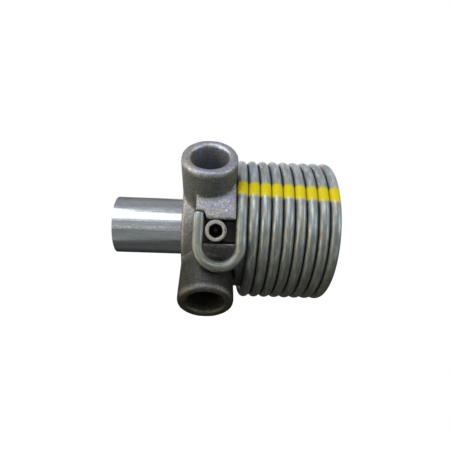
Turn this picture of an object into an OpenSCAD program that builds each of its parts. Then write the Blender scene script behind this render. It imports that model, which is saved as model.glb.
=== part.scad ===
// Winding end of a garage door torsion spring, in millimetres.
// The shaft runs along X. The origin is on the shaft's axis, in the plane of the winding sockets.
// An angle round the shaft, psi, is 0 at the front (-Y) and 90 at the top (+Z).

/* [Torsion shaft] */
// Outside diameter of the shaft tube
shaft_d = 25.4; // [24:0.1:27]
// Wall thickness of the shaft tube
shaft_wall = 2; // [1.5:0.1:4]
// Length of bare shaft left of the winding cone
shaft_free = 30.5; // [20:0.5:120]
// How far the shaft's right end lies inside the end of the coil
shaft_set_back = 2; // [0.5:0.5:6]

/* [Spring] */
// Wire diameter
wire_d = 4.5; // [4:0.1:5.2]
// Gap between neighbouring turns
turn_gap = 0.1; // [0.02:0.01:0.3]
// Inside diameter of the coil
coil_inside_d = 53.2; // [52:0.1:58]
// Turns of the coil, counted from the front where the hook begins
coil_turns = 8.75; // [6:0.25:14]
// Clear width between the two legs of the hook
hook_gap = 12.2; // [11.5:0.1:13]
// Height of the shaft's axis above the centre of the hook's bend
hook_drop = 5.6; // [4.5:0.1:6.5]
// Clearance between the hook's bend and the socket it rests on
hook_clearance = 0.1; // [0.05:0.05:0.3]
// Angle above the front at which the wire's cut end lies
cut_angle = 14; // [13:0.5:17]

/* [Winding cone] */
// Clearance between the shaft and the cone's bore
bore_clearance = 0.15; // [0.05:0.05:0.3]
// Diameter of the collar at the left end
collar_d = 47; // [44:0.5:50]
// Distance from the socket plane to the collar's left face
collar_left = 10.8; // [9:0.1:12]
// Radius of the collar's rounded edge
collar_edge = 1; // [0.3:0.1:2]
// Distance from the socket plane to the step where the spring seat begins
seat_left = 3.9; // [3:0.1:5]
// How far the middle of the hook's free leg lies right of that step
leg_inset = 0.4; // [0.2:0.1:1]
// Clearance between the spring and its seat
seat_clearance = 0.05; // [0.02:0.01:0.2]
// Length of the barrel inside the coil, from the nose to its end
barrel_len = 24; // [14:1:30]
// Length of the lead-in taper at the barrel's end
barrel_taper = 6; // [3:0.5:10]
// How much the taper takes off the barrel's radius
taper_depth = 2; // [1:0.5:4]
// Depth of the core left open in the barrel's end
core_depth = 16; // [8:1:20]
// Wall thickness left inside and outside that core
core_wall = 3.5; // [3:0.1:5]
// Thickness of the ribs across the core
core_rib = 5; // [4:0.5:8]

/* [Winding sockets] */
// Angle from the front to the first socket
socket_angle = 45; // [43:0.5:47]
// Distance from the shaft's axis to the sockets' mouths
socket_reach = 40.5; // [38:0.5:44]
// Diameter of a socket at its mouth
socket_d = 22.4; // [21.5:0.1:23.5]
// Draft angle of a socket's sides, which makes it thinner towards the shaft
socket_draft = 0.9; // [0.5:0.1:2]
// Radius of the rounded edge at its mouth
socket_edge = 1.3; // [0.5:0.1:1.6]
// Diameter of the hole for the winding bar
bar_hole_d = 15; // [13:0.1:16]
// Depth of that hole
bar_hole_depth = 23; // [18:0.5:24]
// Width of the bevel round the hole's mouth
bar_hole_bevel = 0.6; // [0.3:0.1:1.2]

/* [Nose and screw slot] */
// How far the nose stays below the outside of the coil
nose_drop = 0.2; // [0:0.1:1]
// Height of the nose's lower face above the shaft's axis
nose_lip = 4.3; // [3.8:0.1:4.8]
// Clearance between the nose and the wire
nose_clearance = 0.05; // [0.05:0.05:0.3]
// How far the nose stands left of the step where the spring seat begins
nose_overhang = 0.9; // [0.4:0.1:1.5]
// Height of the slanted corner beside the wire's cut end
nose_corner = 2; // [0.5:0.1:2.5]
// Distance from the shaft's axis to the floor of the slot round the screw
slot_floor = 22.5; // [20:0.5:24]
// Height of the slot's lower edge below the shaft's axis
slot_drop = 5.1; // [5:0.1:5.5]

/* [Set screws] */
// Diameter of a set screw
screw_d = 8.6; // [8:0.1:10]
// Length of a set screw
screw_len = 18; // [16:0.5:20]
// Clearance between the front screw and the free leg of the spring's hook
screw_gap = 0.1; // [0.05:0.05:0.5]
// Width of the bevel at the ends of a set screw
screw_bevel = 0.4; // [0.3:0.1:1.2]
// Width of the hexagon socket across its flats
hex_width = 4.7; // [4:0.1:5.5]
// Depth of the hexagon socket
hex_depth = 7; // [4:0.5:9]
// Clearance round a set screw in its hole
screw_clearance = 0.05; // [0.02:0.01:0.1]

/* [Hidden] */
$fn = 96;
over = 0.5;                          // how far a cutter runs past what it cuts

// Radius of a socket at a distance from the shaft's axis
function socket_r_at(distance) = socket_d / 2 - (socket_reach - distance) * tan(socket_draft);

// Spring
wire_sides = 12;                     // sides of the wire's section
turn_steps = 36;                     // sections in one turn of the coil
bend_steps = 16;                     // sections in the hook's bend
leg_steps = 5;                       // sections in the hook's free leg
pitch = wire_d + turn_gap;
coil_r = (coil_inside_d + wire_d) / 2;               // radius of the wire's centre line
slope = atan(pitch / (2 * PI * coil_r));             // the helix's slant
turn_len = 2 * PI * coil_r / cos(slope);             // wire in one turn
hook_r = (hook_gap + wire_d) / 2;                    // radius of the hook's bend
free_leg_x = leg_inset - seat_left;
first_turn_x = free_leg_x + 2 * hook_r / cos(slope);

// The wire's centre line lies on a cylinder of radius coil_r. At hook_angle above the front it
// leaves the cylinder in a straight line, so the hook is flat, in the tangent plane there.
// Unrolled, x runs along the shaft and s runs up from that line, and a place on the wire is
// [x, s, heading], with the heading turned from +s to +x.
function unrolled(across, along) =
    [first_turn_x + along * sin(slope) - across * cos(slope),
     along * cos(slope) + across * sin(slope)];
function bend_place(a, depth) =
    concat(unrolled(hook_r + hook_r * cos(a), -depth - hook_r * sin(a)), 180 - a + slope);

// Length of wire from an angle above the front down to the centre of the hook's bend
function depth_at(angle) = (coil_r * sin(angle) + hook_drop) / cos(angle);

// Smallest gap between the bend and the lower front socket when the wire leaves at an angle
function rest_gap(angle) =
    min([for (a = [0 : 10 : 180])
        let (place = bend_place(a, depth_at(angle)),
             turn = socket_angle + angle,
             off_axis = coil_r * sin(turn) + place[1] * cos(turn),
             along_axis = coil_r * cos(turn) - place[1] * sin(turn))
        norm([place[0], off_axis]) - wire_d / 2 - socket_r_at(along_axis)]);

// The angle that leaves hook_clearance there, found by halving the span that holds it
function rest_angle(low, high, rounds) =
    let (mid = (low + high) / 2)
    rounds == 0 ? mid :
    rest_gap(mid) < hook_clearance ? rest_angle(mid, high, rounds - 1)
                                   : rest_angle(low, mid, rounds - 1);

hook_angle = rest_angle(0, 30, 16);
hook_depth = depth_at(hook_angle);
coil_len = turn_len * (coil_turns - hook_angle / 360);
cut_len = turn_len * (cut_angle - hook_angle) / 360 - 2 * hook_r * tan(slope);
function leg_place(f) =
    concat(unrolled(2 * hook_r, (1 - f) * cut_len - f * hook_depth), 180 + slope);
function coil_place(f) =
    concat(unrolled(0, f * coil_len - (1 - f) * hook_depth), slope);

coil_steps = ceil((coil_len + hook_depth) / turn_len * turn_steps);
wire_path = concat(
    [for (i = [0 : leg_steps - 1]) leg_place(i / leg_steps)],
    [for (i = [0 : bend_steps]) bend_place(180 * i / bend_steps, hook_depth)],
    [for (i = [1 : coil_steps]) coil_place(i / coil_steps)]);

// Shaft
shaft_left = -collar_left - shaft_free;
shaft_right = coil_place(1)[0] + wire_d / 2 - shaft_set_back;

// Winding cone
bore_r = shaft_d / 2 + bore_clearance;
seat_r = coil_inside_d / 2 * cos(180 / turn_steps) - seat_clearance;
nose_r = coil_inside_d / 2 + wire_d - nose_drop;
nose_left = free_leg_x + (wire_d / 2 + nose_clearance) / cos(slope);
nose_right = first_turn_x - wire_d / 2 - nose_clearance;
nose_end_angle = cut_angle + nose_clearance / coil_r * 180 / PI;
barrel_right = nose_right + barrel_len;
core_inner_r = bore_r + core_wall;
screw_x = free_leg_x + wire_d / 2 / cos(slope) + screw_gap + screw_d / 2;
core_outer_r = seat_r - taper_depth - core_wall;

// A 2D shape in Y and Z, made solid from x0 to x1
module along_x(x0, x1) {
    translate([x0, 0, 0])
        rotate([90, 0, 90])
            linear_extrude(x1 - x0)
                children();
}

// A 2D shape of X and radius, turned round the shaft's axis
module turned() {
    rotate([0, 90, 0])
        rotate_extrude()
            mirror([1, -1])
                children();
}

// What is drawn along Z is laid on the radius at angle psi
module radial(psi) {
    rotate([90 - psi, 0, 0])
        children();
}

// A slice of the Y-Z plane between two angles
module wedge(psi0, psi1, r) {
    polygon([[0, 0], r * [-cos(psi0), sin(psi0)], r * [-cos(psi1), sin(psi1)]]);
}

// The shaft is a plain welded tube
module torsion_shaft() {
    color([0.72, 0.74, 0.76])
        difference() {
            along_x(shaft_left, shaft_right)
                circle(shaft_d / 2);
            along_x(shaft_left - over, shaft_right + over)
                circle(shaft_d / 2 - shaft_wall);
        }
}

// One corner of the wire's section at a place on the wire. A section has a corner at the coil's
// outside, at its inside and at both sides, so the wire's width and both diameters are true.
function wire_corner(place, turn) =
    let (straight = min(place[1], 0),
         psi = hook_angle + max(place[1], 0) / coil_r * 180 / PI,
         out = coil_r + wire_d / 2 * cos(turn),
         side = wire_d / 2 * sin(turn),
         up = straight + side * sin(place[2]))
    [place[0] - side * cos(place[2]),
     -out * cos(psi) + up * sin(psi),
     out * sin(psi) + up * cos(psi)];

module torsion_spring() {
    rings = len(wire_path);
    corners = [for (place = wire_path, k = [0 : wire_sides - 1])
        wire_corner(place, k * 360 / wire_sides)];
    sides = [for (i = [0 : rings - 2], k = [0 : wire_sides - 1])
        let (next = (k + 1) % wire_sides)
        [i * wire_sides + k, i * wire_sides + next,
         (i + 1) * wire_sides + next, (i + 1) * wire_sides + k]];
    first_end = [for (k = [wire_sides - 1 : -1 : 0]) k];
    last_end = [for (k = [0 : wire_sides - 1]) (rings - 1) * wire_sides + k];
    color([0.6, 0.62, 0.63])
        polyhedron(corners, concat([first_end], sides, [last_end]));
}

// Collar, spring seat and barrel as one turned form
module cone_body() {
    collar_r = collar_d / 2;
    turned() {
        translate([-collar_left, 0])
            square([collar_left, collar_r - collar_edge]);
        translate([collar_edge - collar_left, 0])
            square([collar_left - collar_edge, collar_r]);
        translate([collar_edge - collar_left, collar_r - collar_edge])
            circle(collar_edge);
        polygon([[-seat_left, 0], [-seat_left, seat_r], [barrel_right - barrel_taper, seat_r],
                 [barrel_right, seat_r - taper_depth], [barrel_right, 0]]);
    }
}

// Pockets in the barrel's end, parted by ribs in line with the sockets
module barrel_core() {
    difference() {
        along_x(barrel_right - core_depth, barrel_right + over)
            difference() {
                circle(core_outer_r);
                circle(core_inner_r);
            }
        for (k = [0 : 1])
            radial(socket_angle + 90 * k)
                translate([barrel_right - core_depth, -core_rib / 2, -seat_r])
                    cube([core_depth + 2 * over, core_rib, 2 * seat_r]);
    }
}

// A socket's outside, drawn along Z from the shaft's axis
module socket_stem() {
    edge_h = socket_reach - socket_edge;
    rotate_extrude() {
        polygon([[0, 0], [socket_r_at(0), 0], [socket_r_at(edge_h), edge_h], [0, edge_h]]);
        translate([0, edge_h])
            square([socket_r_at(edge_h) - socket_edge, socket_edge]);
        translate([socket_r_at(edge_h) - socket_edge, edge_h])
            intersection() {
                circle(socket_edge);
                square(socket_edge);
            }
    }
}

// The hole for the winding bar, with its bevelled mouth
module bar_hole() {
    bar_r = bar_hole_d / 2;
    translate([0, 0, socket_reach - bar_hole_depth])
        cylinder(h = bar_hole_depth + over, r = bar_r);
    translate([0, 0, socket_reach - bar_hole_bevel])
        cylinder(h = bar_hole_bevel + over, r1 = bar_r, r2 = bar_r + bar_hole_bevel + over);
}

// The raised nose between the hook's legs. Its left part stops above the wire's cut end.
module nose() {
    difference() {
        union() {
            along_x(nose_left, nose_right)
                intersection() {
                    circle(nose_r);
                    wedge(0, socket_angle, 2 * nose_r);
                    translate([-nose_r, nose_lip])
                        square(nose_r);
                }
            along_x(-seat_left - nose_overhang, nose_right)
                intersection() {
                    circle(nose_r);
                    wedge(nose_end_angle, socket_angle, 2 * nose_r);
                }
        }
        translate([nose_left, 0, nose_lip])
            rotate([90, 0, 0])
                linear_extrude(2 * nose_r)
                    polygon([[-over, -over], [nose_corner / 2, -over], [nose_corner / 2, 0],
                             [0, nose_corner], [-over, nose_corner]]);
    }
}

// The slot across the front that the screw stands in
module screw_slot() {
    translate([-seat_left, -coil_r, -slot_drop])
        cube([seat_left + first_turn_x, coil_r - slot_floor, slot_drop + nose_lip]);
}

module winding_cone() {
    color([0.58, 0.56, 0.56])
        difference() {
            union() {
                cone_body();
                for (k = [0 : 3])
                    radial(socket_angle + 90 * k)
                        socket_stem();
                nose();
            }
            along_x(-collar_left - over, barrel_right + over)
                circle(bore_r);
            barrel_core();
            screw_slot();
            for (k = [0 : 3])
                radial(socket_angle + 90 * k)
                    bar_hole();
            for (psi = [0, 180])
                radial(psi)
                    translate([screw_x, 0, 0])
                        cylinder(h = nose_r, r = screw_d / 2 + screw_clearance);
        }
}

// A hexagon socket set screw with a cup point, standing on the shaft at angle psi
module set_screw(psi) {
    r = screw_d / 2;
    color([0.5, 0.5, 0.52])
        radial(psi)
            translate([screw_x, 0, shaft_d / 2])
                difference() {
                    rotate_extrude()
                        polygon([[0, 0], [r - screw_bevel, 0], [r, screw_bevel],
                                 [r, screw_len - screw_bevel], [r - screw_bevel, screw_len],
                                 [0, screw_len]]);
                    translate([0, 0, screw_len - hex_depth])
                        cylinder(h = hex_depth + over, r = hex_width / 2 / cos(30), $fn = 6);
                }
}

module set_screw_front() {
    set_screw(0);
}

module set_screw_rear() {
    set_screw(180);
}

torsion_shaft();
winding_cone();
torsion_spring();
set_screw_front();
set_screw_rear();
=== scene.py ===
"""Winding end of a garage door torsion spring: shaft, winding cone, set screws and spring."""
import math

import bmesh
import bpy
import numpy as np
from mathutils import Matrix, Vector


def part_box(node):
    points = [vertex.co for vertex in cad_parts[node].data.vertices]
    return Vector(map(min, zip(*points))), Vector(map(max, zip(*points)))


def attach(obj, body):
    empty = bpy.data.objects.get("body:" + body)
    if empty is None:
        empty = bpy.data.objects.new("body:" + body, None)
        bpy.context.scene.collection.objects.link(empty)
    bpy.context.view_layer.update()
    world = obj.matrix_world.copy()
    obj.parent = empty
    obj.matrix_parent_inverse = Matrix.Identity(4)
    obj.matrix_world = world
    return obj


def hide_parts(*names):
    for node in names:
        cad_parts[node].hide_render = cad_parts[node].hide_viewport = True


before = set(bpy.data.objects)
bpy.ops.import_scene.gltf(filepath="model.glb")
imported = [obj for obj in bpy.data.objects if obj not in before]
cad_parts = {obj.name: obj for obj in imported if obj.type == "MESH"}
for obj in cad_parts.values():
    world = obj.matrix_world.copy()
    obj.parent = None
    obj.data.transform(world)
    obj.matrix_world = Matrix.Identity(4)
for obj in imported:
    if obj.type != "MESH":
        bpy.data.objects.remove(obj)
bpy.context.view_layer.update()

# ---------------------------------------------------------------------------------------------
# Torsion shaft: a bright zinc-plated tube, rolled from strip and welded along one line. The
# weld's bead is scarfed off, which leaves a ragged line of flecks along the front.

MM = 0.001
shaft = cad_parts["torsion_shaft"]


class Finish:
    """A surface finish: one Principled shader and the patterns that feed it. Specular is the
    level and edge the tint of the shine that comes on top of the metal's own colour."""

    def __init__(self, name, colour, metallic, roughness, specular=0.5, edge=(1, 1, 1)):
        self.material = bpy.data.materials.new(name)
        self.material.use_nodes = True
        self.tree = self.material.node_tree
        self.shader = self.tree.nodes["Principled BSDF"]
        self.shader.inputs["Base Color"].default_value = (*colour, 1)
        self.shader.inputs["Metallic"].default_value = metallic
        self.shader.inputs["Roughness"].default_value = roughness
        self.shader.inputs["Specular IOR Level"].default_value = specular
        self.shader.inputs["Specular Tint"].default_value = (*edge, 1)

    def node(self, kind, values=(), **settings):
        """A node with its settings, and its inputs taken from values or other nodes' outputs."""
        made = self.tree.nodes.new("ShaderNode" + kind)
        for key, value in settings.items():
            setattr(made, key, value)
        for place, value in dict(values).items():
            if isinstance(value, bpy.types.NodeSocket):
                self.tree.links.new(value, made.inputs[place])
            else:
                made.inputs[place].default_value = value
        return made

    def place(self, stretch=(1, 1, 1), where=None):
        """The object's own coordinates, or others, with each axis times its stretch."""
        if where is None:
            where = self.node("TexCoord").outputs["Object"]
        return self.node("Mapping", {"Vector": where, "Scale": stretch}).outputs[0]

    def parts(self, where=None):
        """The X, Y and Z of the object's own coordinates, or of others."""
        return self.node("SeparateXYZ", {0: self.place() if where is None else where}).outputs

    def noise(self, where, grain, detail=3.0, roughness=0.55):
        """Cloudy noise from 0 to 1 whose patches are about grain metres wide."""
        return self.node("TexNoise", {"Vector": where, "Scale": 1 / grain, "Detail": detail,
                                      "Roughness": roughness}).outputs["Fac"]

    def ramp(self, value, low, high, to_low=0.0, to_high=1.0, smooth=True):
        """A value between low and high spread over to_low to to_high, and held beyond them."""
        kind = "SMOOTHSTEP" if smooth else "LINEAR"
        return self.node("MapRange", {"Value": value, "From Min": low, "From Max": high,
                                      "To Min": to_low, "To Max": to_high},
                         interpolation_type=kind).outputs["Result"]

    def calc(self, operation, *values):
        """Arithmetic on one, two or three values."""
        return self.node("Math", dict(enumerate(values)), operation=operation).outputs[0]

    def distance(self, first, second):
        """The length of two offsets at right angles: the root of the sum of their squares."""
        squares = [self.calc("POWER", offset, 2.0) for offset in (first, second)]
        return self.calc("SQRT", self.calc("ADD", *squares))

    def band(self, value, start, full, last, end):
        """0 up to start, 1 from full to last, and 0 again from end on."""
        return self.calc("MULTIPLY", self.ramp(value, start, full), self.ramp(value, end, last))

    def blend(self, share, *colours):
        """The first colour where share is 0 and the second colour where it is 1."""
        first, second = (colour if isinstance(colour, bpy.types.NodeSocket) else (*colour, 1)
                         for colour in colours)
        return self.node("Mix", {0: share, 6: first, 7: second}, data_type="RGBA").outputs[2]

    def scaled(self, colour, factor):
        """A colour times a factor."""
        return self.node("VectorMath", {0: colour, "Scale": factor}, operation="SCALE").outputs[0]

    def tinted(self, colour, tint):
        """A colour times another, channel by channel."""
        return self.node("VectorMath", {0: colour, 1: tint}, operation="MULTIPLY").outputs[0]

    def bumps(self, *layers):
        """Bumps from (height, depth in metres) layers, one on another."""
        normal = None
        for height, depth in layers:
            values = {"Height": height, "Distance": depth}
            if normal is not None:
                values["Normal"] = normal
            normal = self.node("Bump", values).outputs[0]
        self.feed(Normal=normal)

    def feed(self, **sockets):
        """Outputs joined to the shader's inputs, whose names have _ for a space."""
        for name, socket in sockets.items():
            self.tree.links.new(socket, self.shader.inputs[name.replace("_", " ")])

    def angle_round_x(self):
        """Angle round the shaft in radians, 0 at the front and a quarter turn at the top."""
        parts = self.parts()
        return self.calc("ARCTAN2", parts["Z"], self.calc("MULTIPLY", parts["Y"], -1.0))


weld_below, weld_half, weld_fade = (math.radians(angle) for angle in (2.8, 1.5, 7))

tube = Finish("zinc_plated_tube", (0.25, 0.255, 0.265), 1.0, 0.24, 0.5, (0.35, 0.33, 0.31))
clouds = tube.noise(tube.place((0.3, 1, 1)), 5 * MM, 4)
streaks = tube.noise(tube.place((0.03, 1, 1)), 0.5 * MM, 4, 0.6)
bands = tube.noise(tube.place((0.02, 1, 1)), 1.6 * MM, 3, 0.6)
scuffs = tube.noise(tube.place((0.25, 1, 1)), 0.8 * MM, 4, 0.7)
# The weld line, with flecks that are lighter or darker than the plating
off_weld = tube.calc("ABSOLUTE", tube.calc("ADD", tube.angle_round_x(), weld_below))
weld_line = tube.ramp(off_weld, weld_half, weld_fade, 1, 0)
crumbs = tube.noise(tube.place((0.6, 1, 1)), 0.45 * MM, 3, 0.6)
light_flecks = tube.calc("MULTIPLY", weld_line, tube.ramp(crumbs, 0.5, 0.66))
dark_flecks = tube.calc("MULTIPLY", weld_line, tube.ramp(crumbs, 0.42, 0.3))
# Cloudy zinc with marks drawn along the tube
plated = tube.blend(clouds, (0.2, 0.212, 0.235), (0.31, 0.335, 0.365))
plated = tube.scaled(plated, tube.calc("MULTIPLY", tube.ramp(bands, 0.3, 0.7, 0.85, 1.15),
                                       tube.ramp(scuffs, 0.3, 0.7, 0.92, 1.06)))
plated = tube.blend(tube.calc("MULTIPLY", dark_flecks, 0.6), plated, (0.06, 0.058, 0.055))
plated = tube.blend(tube.calc("MULTIPLY", light_flecks, 0.45), plated, (0.62, 0.63, 0.64))
rough = tube.calc("ADD", tube.ramp(streaks, 0.3, 0.7, 0.17, 0.25),
                  tube.ramp(scuffs, 0.45, 0.75, 0, 0.08))
tube.feed(Base_Color=plated, Roughness=tube.calc("MULTIPLY_ADD", weld_line, 0.15, rough))
tube.bumps((streaks, 0.012 * MM), (clouds, 0.06 * MM), (light_flecks, 0.03 * MM))
shaft.data.materials.clear()
shaft.data.materials.append(tube.material)

# ---------------------------------------------------------------------------------------------
# Winding cone: one grainy casting of light alloy, with four sockets for winding bars, a nose that
# the spring hooks over and a barrel inside the coil. Two set screws clamp it to the shaft.

socket_mouth, rim_depth = 40.5 * MM, 4 * MM
grid_cell = 0.45 * MM
edge_rounds, rim_rounds, bend_rounds = 4, 8, 14


def relaxed(points, edges, rounds, share=1.0):
    """Points moved halfway to the mean of the points they share an edge with, a number of times.
    The share, from 0 to 1 for each point, scales every move."""
    ends = np.concatenate([edges[:, 0], edges[:, 1]])
    others = np.concatenate([edges[:, 1], edges[:, 0]])
    neighbours = np.bincount(ends, minlength=len(points))
    for _ in range(rounds):
        total = [np.bincount(ends, points[others, axis], len(points)) for axis in range(3)]
        points = points + 0.5 * share * (np.stack(total, -1) / neighbours[:, None] - points)
    return points


def as_cast(node, name, cell):
    """The solid node's surface rebuilt on a grid of square cells and relaxed, which rounds its
    edges and fills its corners. The socket rims are relaxed further. The attribute bend holds, in
    millimetres, how far a point stands out from the surface relaxed once more: more than 0 on an
    outer edge and less than 0 in a corner. At the end flat parts give up half of all the faces."""
    copy = bpy.data.objects.new(name, node.data.copy())
    bpy.context.scene.collection.objects.link(copy)

    def modified(kind, **settings):
        modifier = copy.modifiers.new(kind.title(), kind)
        for key, value in settings.items():
            setattr(modifier, key, value)
        finished = bpy.data.meshes.new_from_object(
            copy.evaluated_get(bpy.context.evaluated_depsgraph_get()))
        copy.modifiers.clear()
        copy.data = finished

    modified("WELD", merge_threshold=1e-6)
    modified("REMESH", mode="VOXEL", voxel_size=cell, use_smooth_shade=True)
    mesh = copy.data
    points = np.empty((len(mesh.vertices), 3), np.float32)
    edges = np.empty((len(mesh.edges), 2), np.int32)
    mesh.vertices.foreach_get("co", points.ravel())
    mesh.edges.foreach_get("vertices", edges.ravel())
    points = relaxed(points.astype(float), edges, edge_rounds)
    along_socket = (np.abs(points[:, 1]) + np.abs(points[:, 2])) / math.sqrt(2)
    at_rim = np.clip((along_socket - socket_mouth + rim_depth) / (2 * MM), 0, 1)[:, None]
    points = relaxed(points, edges, rim_rounds, at_rim)
    mesh.vertices.foreach_set("co", points.astype(np.float32).ravel())
    normals = np.empty((len(points), 3), np.float32)
    mesh.vertex_normals.foreach_get("vector", normals.ravel())
    bend = ((points - relaxed(points, edges, bend_rounds)) * normals).sum(1) / MM
    mesh.attributes.new("bend", "FLOAT", "POINT").data.foreach_set("value", bend.astype(np.float32))
    modified("DECIMATE", ratio=0.5)
    return copy


cone = as_cast(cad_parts["winding_cone"], "cast_winding_cone", grid_cell)

alloy = Finish("die_cast_alloy", (0.14, 0.135, 0.14), 0.85, 0.5, 0.2, (0.4, 0.4, 0.4))
place = alloy.place()
parts = alloy.parts(place)
patches = alloy.noise(place, 9 * MM, 4)
grain = alloy.noise(place, 0.55 * MM, 3, 0.7)
pits = alloy.noise(place, 1.4 * MM, 3, 0.6)
sparkle = alloy.ramp(alloy.noise(place, 0.5 * MM, 1), 0.62, 0.76)
# Painted shade: darker below and lighter above, where the light falls from above, with bright
# grains; painted shade in the corners
bend = alloy.node("Attribute", attribute_name="bend").outputs["Fac"]
height = alloy.ramp(alloy.calc("MULTIPLY_ADD", patches, 20 * MM, parts["Z"]),
                    -22 * MM, 40 * MM, smooth=False)
skin = alloy.blend(height, (0.036, 0.035, 0.026), (0.232, 0.236, 0.27))
tone = alloy.calc("MULTIPLY_ADD", sparkle, 1.3, alloy.ramp(grain, 0.3, 0.7, 0.6, 1.35))
tone = alloy.calc("MULTIPLY", tone, alloy.ramp(bend, 0.1, 0.3, 1, 0.95))
# Painted shade: corners, where bend is below 0, are darkened down to 0.3
tone = alloy.calc("MULTIPLY", tone, alloy.ramp(bend, -0.04, -0.2, 1, 0.3))
# Painted shade: the sockets' barrels are darker, the lower ones most. Painted light: the upper
# bores are brighter.
depth_y, height_z = (alloy.calc("ABSOLUTE", parts[axis]) for axis in "YZ")
out_along_socket = alloy.calc("MULTIPLY", alloy.calc("ADD", depth_y, height_z), math.sqrt(0.5))
aside = alloy.calc("MULTIPLY", alloy.calc("SUBTRACT", depth_y, height_z), math.sqrt(0.5))
off_socket = alloy.distance(aside, parts["X"])
on_socket_barrel = alloy.calc("MULTIPLY",
                     alloy.band(out_along_socket, 22 * MM, 27 * MM, 37.5 * MM, 39 * MM),
                     alloy.band(off_socket, 8.2 * MM, 9 * MM, 11.5 * MM, 13 * MM))
# Painted shade on the socket barrels, deeper on the lower ones
barrel_shade = alloy.calc("MULTIPLY", on_socket_barrel, alloy.ramp(parts["Z"], -8 * MM, 8 * MM, 0.52, 0.34))
tone = alloy.calc("MULTIPLY", tone, alloy.calc("SUBTRACT", 1.0, barrel_shade))
# Painted light: the walls of the upper bores are made up to 1.5 times brighter
upper_bore_light = alloy.calc("MULTIPLY", alloy.ramp(off_socket, 8.4 * MM, 7.7 * MM),
                     alloy.ramp(parts["Z"], 0, 12 * MM))
skin = alloy.scaled(skin, alloy.calc("MULTIPLY", tone, alloy.ramp(upper_bore_light, 0, 1, 1, 1.5)))
# Bluish and yellowish stains, a warm collar and faintly green sockets
stains = alloy.ramp(alloy.noise(place, 3 * MM, 2, 0.5), 0.35, 0.65)
tint = alloy.blend(stains, (1.03, 1.0, 0.9), (0.95, 0.98, 1.1))
tint = alloy.blend(alloy.ramp(parts["X"], -4 * MM, -7 * MM), tint, (1.06, 1.01, 0.89))
tint = alloy.blend(alloy.calc("MULTIPLY", on_socket_barrel, 0.8), tint, (1.0, 1.03, 0.9))
skin = alloy.tinted(skin, tint)
# Painted shade in the slot round each set screw
slot_shade = alloy.calc("MULTIPLY", alloy.ramp(height_z, 5.6 * MM, 4.6 * MM),
                     alloy.band(depth_y, 21 * MM, 22 * MM, 24 * MM, 28 * MM))
slot_shade = alloy.calc("MULTIPLY", slot_shade, alloy.ramp(parts["X"], -6.2 * MM, -3.8 * MM))
skin = alloy.blend(alloy.calc("MULTIPLY", slot_shade, 0.85), skin, (0.022, 0.016, 0.014))
alloy.feed(Base_Color=skin,
           Roughness=alloy.calc("ADD", alloy.ramp(pits, 0.3, 0.7, 0.42, 0.54),
                                alloy.ramp(bend, 0.1, 0.3, 0, -0.12)))
alloy.bumps((grain, 0.07 * MM), (pits, 0.12 * MM))
cone.data.materials.clear()
cone.data.materials.append(alloy.material)
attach(cone, "root")
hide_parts("winding_cone")

# ---------------------------------------------------------------------------------------------
# Set screws: turned steel with a rolled thread, a bevelled end and a hexagon socket. Each stands
# in the cone with its point on the shaft, one at the front and one behind.

screw_r, screw_len, bevel = 4.3 * MM, 18 * MM, 0.4 * MM
thread_pitch, thread_depth = 1.5 * MM, 0.55 * MM
hex_width, hex_depth = 4.7 * MM, 7 * MM
screw_x = 3.15 * MM


def grid_mesh(name, points, attribute=None):
    """A closed mesh from an array of rings of points, each joined to the next. The first and last
    ring have shrunk to one place, which closes the form. The attribute is one vector a point."""
    rings, around = points.shape[:2]
    i, k = np.meshgrid(np.arange(rings - 1), np.arange(around), indexing="ij")
    following = (k + 1) % around
    faces = np.stack([i * around + k, i * around + following,
                      (i + 1) * around + following, (i + 1) * around + k], -1).reshape(-1, 4)
    mesh = bpy.data.meshes.new(name)
    mesh.from_pydata(points.reshape(-1, 3), [], faces)
    if attribute is not None:
        layer = mesh.attributes.new(attribute[0], "FLOAT_VECTOR", "POINT")
        layer.data.foreach_set("vector", attribute[1].astype(np.float32).ravel())
    merged = bmesh.new()
    merged.from_mesh(mesh)
    bmesh.ops.remove_doubles(merged, verts=merged.verts, dist=1e-7)
    bmesh.ops.recalc_face_normals(merged, faces=merged.faces)
    merged.to_mesh(mesh)
    merged.free()
    mesh.shade_smooth()
    made = bpy.data.objects.new(name, mesh)
    bpy.context.scene.collection.objects.link(made)
    return made


def threaded_screw(sides=96, rows=181):
    """Rings of radius r at height h. On the outside r = R - d * w, where w is a triangle wave of
    h / pitch - angle / turn, so the groove is one helix. The bevels cap r at both ends. Inside,
    the rings turn from the round rim to the hexagon r = a / cos(angle to the nearest flat)."""
    turn = np.linspace(0, 2 * np.pi, sides, endpoint=False)
    up = np.linspace(0, screw_len, rows)
    h, a = np.meshgrid(up, turn, indexing="ij")
    wave = np.abs(2 * ((h / thread_pitch - a / (2 * np.pi)) % 1) - 1)
    r = screw_r - thread_depth * np.clip(1.25 * wave - 0.1, 0, 1)
    r = np.minimum(r, screw_r - bevel + np.minimum(h, screw_len - h))
    rim = screw_r - bevel
    flat = np.pi / 3
    hexagon = hex_width / 2 / np.cos((turn + flat / 2) % flat - flat / 2)
    inside = [(rim - 0.12 * MM, screw_len), (rim * 0.82, screw_len)]
    rings = [np.stack([0 * turn, 0 * turn, 0 * turn], -1)]
    rings += list(np.stack([r * np.cos(a), r * np.sin(a), h], -1))
    rings += [np.stack([q * np.cos(turn), q * np.sin(turn), z + 0 * turn], -1) for q, z in inside]
    for grow, z in ((1.14, screw_len), (1.06, screw_len - 0.15 * MM), (1.0, screw_len - 0.5 * MM),
                    (1.0, screw_len - hex_depth), (0.0, screw_len - hex_depth - 1 * MM)):
        rings.append(np.stack([hexagon * grow * np.cos(turn), hexagon * grow * np.sin(turn),
                               z + 0 * turn], -1))
    return np.array(rings)


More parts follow.
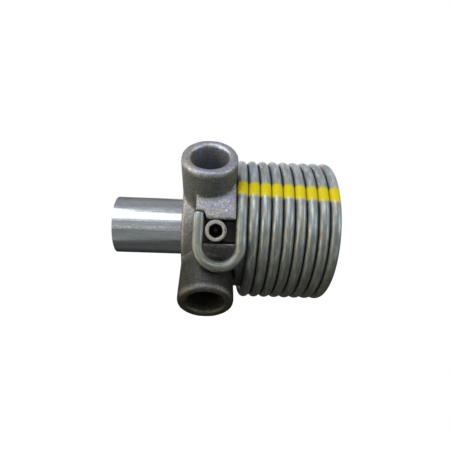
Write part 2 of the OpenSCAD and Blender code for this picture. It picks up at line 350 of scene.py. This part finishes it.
screw_steel = Finish("screw_steel", (0.42, 0.42, 0.43), 0.4, 0.36)
turned = screw_steel.noise(screw_steel.place(), 0.6 * MM, 3)
parts = screw_steel.parts()
off_axis = screw_steel.distance(screw_steel.calc("SUBTRACT", parts["X"], screw_x), parts["Z"])
# Painted shade: the hexagon socket is painted nearly black
hex_hole_shade = screw_steel.ramp(off_axis, 2.6 * MM, 2.9 * MM, 1, 0)
rim = screw_steel.blend(turned, (0.16, 0.155, 0.15), (0.33, 0.325, 0.32))
screw_steel.feed(Base_Color=screw_steel.blend(hex_hole_shade, rim, (0.012, 0.012, 0.012)),
                 Roughness=screw_steel.ramp(turned, 0.3, 0.7, 0.3, 0.5))
screw_steel.bumps((turned, 0.05 * MM))
for node, psi in (("set_screw_front", 0), ("set_screw_rear", 180)):
    low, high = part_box(node)
    middle = (low + high) / 2
    foot = min(abs(low.y), abs(high.y))
    points = threaded_screw() + np.array([0, 0, foot])
    lie = np.array(Matrix.Rotation(math.radians(90 - psi), 3, "X"))
    points = points @ lie.T + np.array([middle.x, 0, 0])
    screw = grid_mesh("threaded_" + node, points)
    screw.data.materials.append(screw_steel.material)
    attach(screw, "root")
    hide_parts(node)

# ---------------------------------------------------------------------------------------------
# Torsion spring: oil-tempered wire wound left-handed into a close coil. Its end is bent into a
# flat hook round the cone's nose. A paint stripe along the coil shows how far it has been wound.

wire_r = 2.25 * MM
pitch = 4.6 * MM
coil_r = 28.85 * MM
slope = math.atan(pitch / (2 * math.pi * coil_r))
hook_r = 8.35 * MM
hook_angle = math.radians(10.85)
hook_depth = 11.231 * MM
first_turn_x = 13.205 * MM
coil_len, cut_len = 1581.16 * MM, 1.163 * MM


def hooked_coil(leg_rows=12, bend_rows=64, coil_rows=1100):
    """The wire's centre line on the unrolled coil, as arrays of x along the shaft, s up the front
    and heading: down the straight leg, round the half circle of the hook, and up into the coil."""
    leg = np.linspace(0, 1, leg_rows, endpoint=False)
    bend = np.linspace(0, math.pi, bend_rows)
    coil = np.linspace(0, 1, coil_rows)[1:]
    across = np.concatenate([0 * leg + 2 * hook_r, hook_r + hook_r * np.cos(bend), 0 * coil])
    along = np.concatenate([cut_len - leg * (cut_len + hook_depth),
                            -hook_depth - hook_r * np.sin(bend),
                            coil * (coil_len + hook_depth) - hook_depth])
    heading = np.concatenate([0 * leg + math.pi, math.pi - bend, 0 * coil]) + slope
    return (first_turn_x + along * math.sin(slope) - across * math.cos(slope),
            along * math.cos(slope) + across * math.sin(slope), heading)


def round_wire(sides=28):
    """Each place on the centre line carries a circle, in the plane square to the heading. Where
    s > 0 the place lies on the coil's cylinder at angle psi = hook angle + s / R, and where
    s < 0 on the flat that touches it there. The ends are sheared off, with a small round edge."""
    x, s, heading = hooked_coil()
    pick = np.concatenate([[0, 0, 0], np.arange(len(x)), [len(x) - 1] * 3])
    size = np.concatenate([[0, 0.9, 0.96], np.ones(len(x)), [0.96, 0.9, 0]])
    shift = np.concatenate([[0, 0, 0.08 * MM], np.zeros(len(x)), [-0.08 * MM, 0, 0]])
    shift[3], shift[-4] = 0.22 * MM, -0.22 * MM
    x, s, heading = x[pick], s[pick], heading[pick]
    x, s = x + shift * np.sin(heading), s + shift * np.cos(heading)
    steps = np.hypot(np.diff(x), np.diff(s))
    length = np.concatenate([[0], np.cumsum(steps)])[:, None]
    turn = np.linspace(0, 2 * math.pi, sides, endpoint=False)
    out = coil_r + wire_r * size[:, None] * np.cos(turn)
    side = wire_r * size[:, None] * np.sin(turn)
    psi = (hook_angle + np.maximum(s, 0) / coil_r)[:, None]
    up = np.minimum(s, 0)[:, None] + side * np.sin(heading)[:, None]
    wound = np.stack([x[:, None] - side * np.cos(heading)[:, None],
                      -out * np.cos(psi) + up * np.sin(psi),
                      out * np.sin(psi) + up * np.cos(psi)], -1)
    return wound, np.stack([out - coil_r, side, length + 0 * side], -1)


wound, straight = round_wire()
spring = grid_mesh("round_wire_spring", wound, ("straight_wire", straight))

stripe_angle, stripe_fall, stripe_half, stripe_fade = 0.613, 1.46, 0.098, 0.165
stripe_colour = (0.58, 0.48, 0.012)

wire = Finish("oil_tempered_wire", (0.24, 0.25, 0.25), 0.5, 0.38, 0.15, (0.5, 0.5, 0.5))
around = wire.parts()
as_drawn = wire.node("Attribute", attribute_name="straight_wire").outputs["Vector"]
_, sideways, from_cut = wire.parts(as_drawn)
mottle = wire.noise(wire.place((1, 1, 0.3), as_drawn), 1.6 * MM, 4, 0.65)
drawn = wire.noise(wire.place((1, 1, 0.06), as_drawn), 0.5 * MM, 3)
speck = wire.noise(wire.place(), 0.5 * MM, 2)
# Painted shade: darker below and lighter above, where the light falls from above, over dark scale
# rubbed bright in streaks that follow the drawing
painted_light_by_height = wire.ramp(wire.calc("EXPONENT", wire.calc("MULTIPLY", around["Z"], 28.0)),
                       0.42, 2.3, smooth=False)
scale_and_shade = wire.blend(painted_light_by_height, (0.056, 0.06, 0.051), (0.265, 0.29, 0.316))
bright = wire.blend(painted_light_by_height, (0.122, 0.13, 0.114), (0.51, 0.556, 0.61))
rubbed = wire.calc("MULTIPLY", wire.ramp(mottle, 0.37, 0.65), wire.ramp(drawn, 0.36, 0.63, 0.08, 1))
steel = wire.blend(rubbed, scale_and_shade, bright)
# Painted shade where the turns touch, small dark specks, faint stains and a dark cut end
contact_shade = wire.ramp(wire.calc("ABSOLUTE", sideways), 0.78 * wire_r, 0.98 * wire_r, 1, 0.35)
specks = wire.ramp(wire.noise(as_drawn, 0.45 * MM, 2), 0.28, 0.36, 0.45, 1)
steel = wire.scaled(steel, wire.calc("MULTIPLY", contact_shade, specks))
stain = wire.ramp(wire.noise(wire.place((1, 1, 0.35), as_drawn), 1.4 * MM, 2, 0.5), 0.35, 0.65)
steel = wire.tinted(steel, wire.blend(stain, (1.07, 1.0, 0.89), (0.93, 1.0, 1.07)))
# The wire within about half a millimetre of its cut end is darkened
steel = wire.blend(wire.ramp(from_cut, 0.2 * MM, 0.6 * MM, 0.9, 0), steel, (0.03, 0.017, 0.015))
# The stripe lies on the coil's outer half, falls a little to the right and has ragged edges
slant = wire.calc("MULTIPLY_ADD", around["X"], stripe_fall, -stripe_angle)
off_stripe = wire.calc("ABSOLUTE", wire.calc("ADD", wire.angle_round_x(), slant))
ragged = wire.calc("MULTIPLY_ADD", mottle, 0.06, off_stripe)
outer_half = wire.ramp(wire.distance(around["Y"], around["Z"]), 28.2 * MM, 29.4 * MM)
paint = wire.calc("MULTIPLY", wire.ramp(ragged, stripe_half, stripe_fade, 1, 0), outer_half)
paint = wire.calc("MULTIPLY", paint, wire.ramp(speck, 0.27, 0.36, 0.3, 1))
wire.feed(Base_Color=wire.blend(paint, steel, stripe_colour),
          Metallic=wire.ramp(paint, 0, 1, 0.5, 0.0),
          Roughness=wire.calc("MAXIMUM", wire.ramp(mottle, 0.3, 0.7, 0.42, 0.32),
                              wire.calc("MULTIPLY", paint, 0.6)))
wire.bumps((drawn, 0.02 * MM), (mottle, 0.05 * MM), (paint, 0.03 * MM))
spring.data.materials.append(wire.material)
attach(spring, "root")
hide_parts("torsion_spring")

# ---------------------------------------------------------------------------------------------
# Studio: a pale floor well below the part and a white room round it. Soft lamps stand on all
# sides, most of them in front, and the camera looks at the part's front.

floor_z, floor_reach, lamp_distance = -0.9, 8, 0.6
ground = bpy.data.meshes.new("floor")
ground.from_pydata([(floor_reach * x, floor_reach * y, floor_z)
                    for x, y in ((-1, -1), (1, -1), (1, 1), (-1, 1))], [], [(0, 1, 2, 3)])
floor = bpy.data.objects.new("floor", ground)
bpy.context.scene.collection.objects.link(floor)
pale = Finish("pale_floor", (0.21, 0.2, 0.18), 0.0, 0.9)
pale.shader.inputs["Emission Color"].default_value = (1, 1, 1, 1)
rays = pale.node("LightPath").outputs
mirrored = pale.calc("MAXIMUM", rays["Is Glossy Ray"], rays["Is Transmission Ray"])
pale.feed(Emission_Strength=pale.calc("MAXIMUM", pale.calc("MULTIPLY", rays["Is Camera Ray"], 0.97),
                                      pale.calc("MULTIPLY", mirrored, 0.1)))
ground.materials.append(pale.material)

world = bpy.data.worlds.new("white_room")
bpy.context.scene.world = world
world.use_nodes = True
sky = world.node_tree
dim = sky.nodes["Background"]
dim.inputs["Color"].default_value = (0.9, 0.95, 1, 1)
dim.inputs["Strength"].default_value = 0.12
white = sky.nodes.new("ShaderNodeBackground")
white.inputs["Color"].default_value = (1, 1, 1, 1)
rays = sky.nodes.new("ShaderNodeLightPath")
pick = sky.nodes.new("ShaderNodeMixShader")
seen = rays.outputs["Is Camera Ray"]
for ray in ("Is Glossy Ray", "Is Transmission Ray"):
    either = sky.nodes.new("ShaderNodeMath")
    either.operation = "MAXIMUM"
    sky.links.new(seen, either.inputs[0])
    sky.links.new(rays.outputs[ray], either.inputs[1])
    seen = either.outputs[0]
sky.links.new(seen, pick.inputs[0])
sky.links.new(dim.outputs[0], pick.inputs[1])
sky.links.new(white.outputs[0], pick.inputs[2])
sky.links.new(pick.outputs[0], sky.nodes["World Output"].inputs["Surface"])

for name, azimuth, height, power, size, colour in (
        ("front_window", -14, 39, 1.9, (0.5, 0.3), (1.0, 0.985, 0.98)),
        ("left_wall", -64, -5, 2.9, (0.5, 0.5), (1.0, 0.89, 0.66)),
        ("left_window", -56, 14, 0.4, (0.14, 0.3), (1.0, 0.93, 0.75)),
        ("high_left", -48, 50, 0.8, (0.2, 0.2), (0.93, 1.0, 0.95)),
        ("left_behind", -122, 10, 0.9, (0.4, 0.4), (1.0, 0.97, 0.9)),
        ("low_left", -60, -38, 0.5, (0.5, 0.5), (0.95, 1.0, 0.9)),
        ("right_window", 60, 15, 0.85, (0.22, 0.28), (0.88, 0.98, 1.0)),
        ("right_wall", 62, -12, 1.1, (0.5, 0.5), (0.95, 1.0, 0.93)),
        ("low_front", 0, -30, 0.4, (0.5, 0.6), (0.97, 1.0, 0.9)),
        ("behind", 165, 12, 0.9, (0.5, 0.5), (1.0, 1.0, 1.0))):
    across, up = math.radians(azimuth), math.radians(height)
    away = lamp_distance * Vector((math.sin(across) * math.cos(up),
                                   -math.cos(across) * math.cos(up), math.sin(up)))
    lamp = bpy.data.objects.new(name, bpy.data.lights.new(name, "AREA"))
    bpy.context.scene.collection.objects.link(lamp)
    lamp.data.shape = "RECTANGLE"
    lamp.data.size, lamp.data.size_y = size
    lamp.data.energy, lamp.data.color = power, colour
    lamp.location = away
    lamp.rotation_euler = (-away).to_track_quat("-Z", "Y").to_euler()

camera = bpy.data.objects.new("camera", bpy.data.cameras.new("camera"))
bpy.context.scene.collection.objects.link(camera)
bpy.context.scene.camera = camera
pitch_x, roll_y, pan_z = (math.radians(v) for v in (2.00, -1.95, 2.01))
turn = (Matrix.Rotation(pan_z, 3, "Z") @ Matrix.Rotation(roll_y, 3, "Y")
        @ Matrix.Rotation(pitch_x, 3, "X")) @ Matrix(((1, 0, 0), (0, 0, -1), (0, 1, 0)))
viewpoint = (0.002379, -0.166815, 0.006726)
camera.matrix_world = (Matrix.Translation(viewpoint)
                       @ Matrix((turn[0], -turn[1], -turn[2])).transposed().to_4x4())
image_width, focal_length, camera.data.sensor_width = 452, 357.72, 36
camera.data.lens = focal_length / image_width * camera.data.sensor_width
camera.data.clip_start = 0.01
bpy.context.scene.view_settings.view_transform = "Standard"
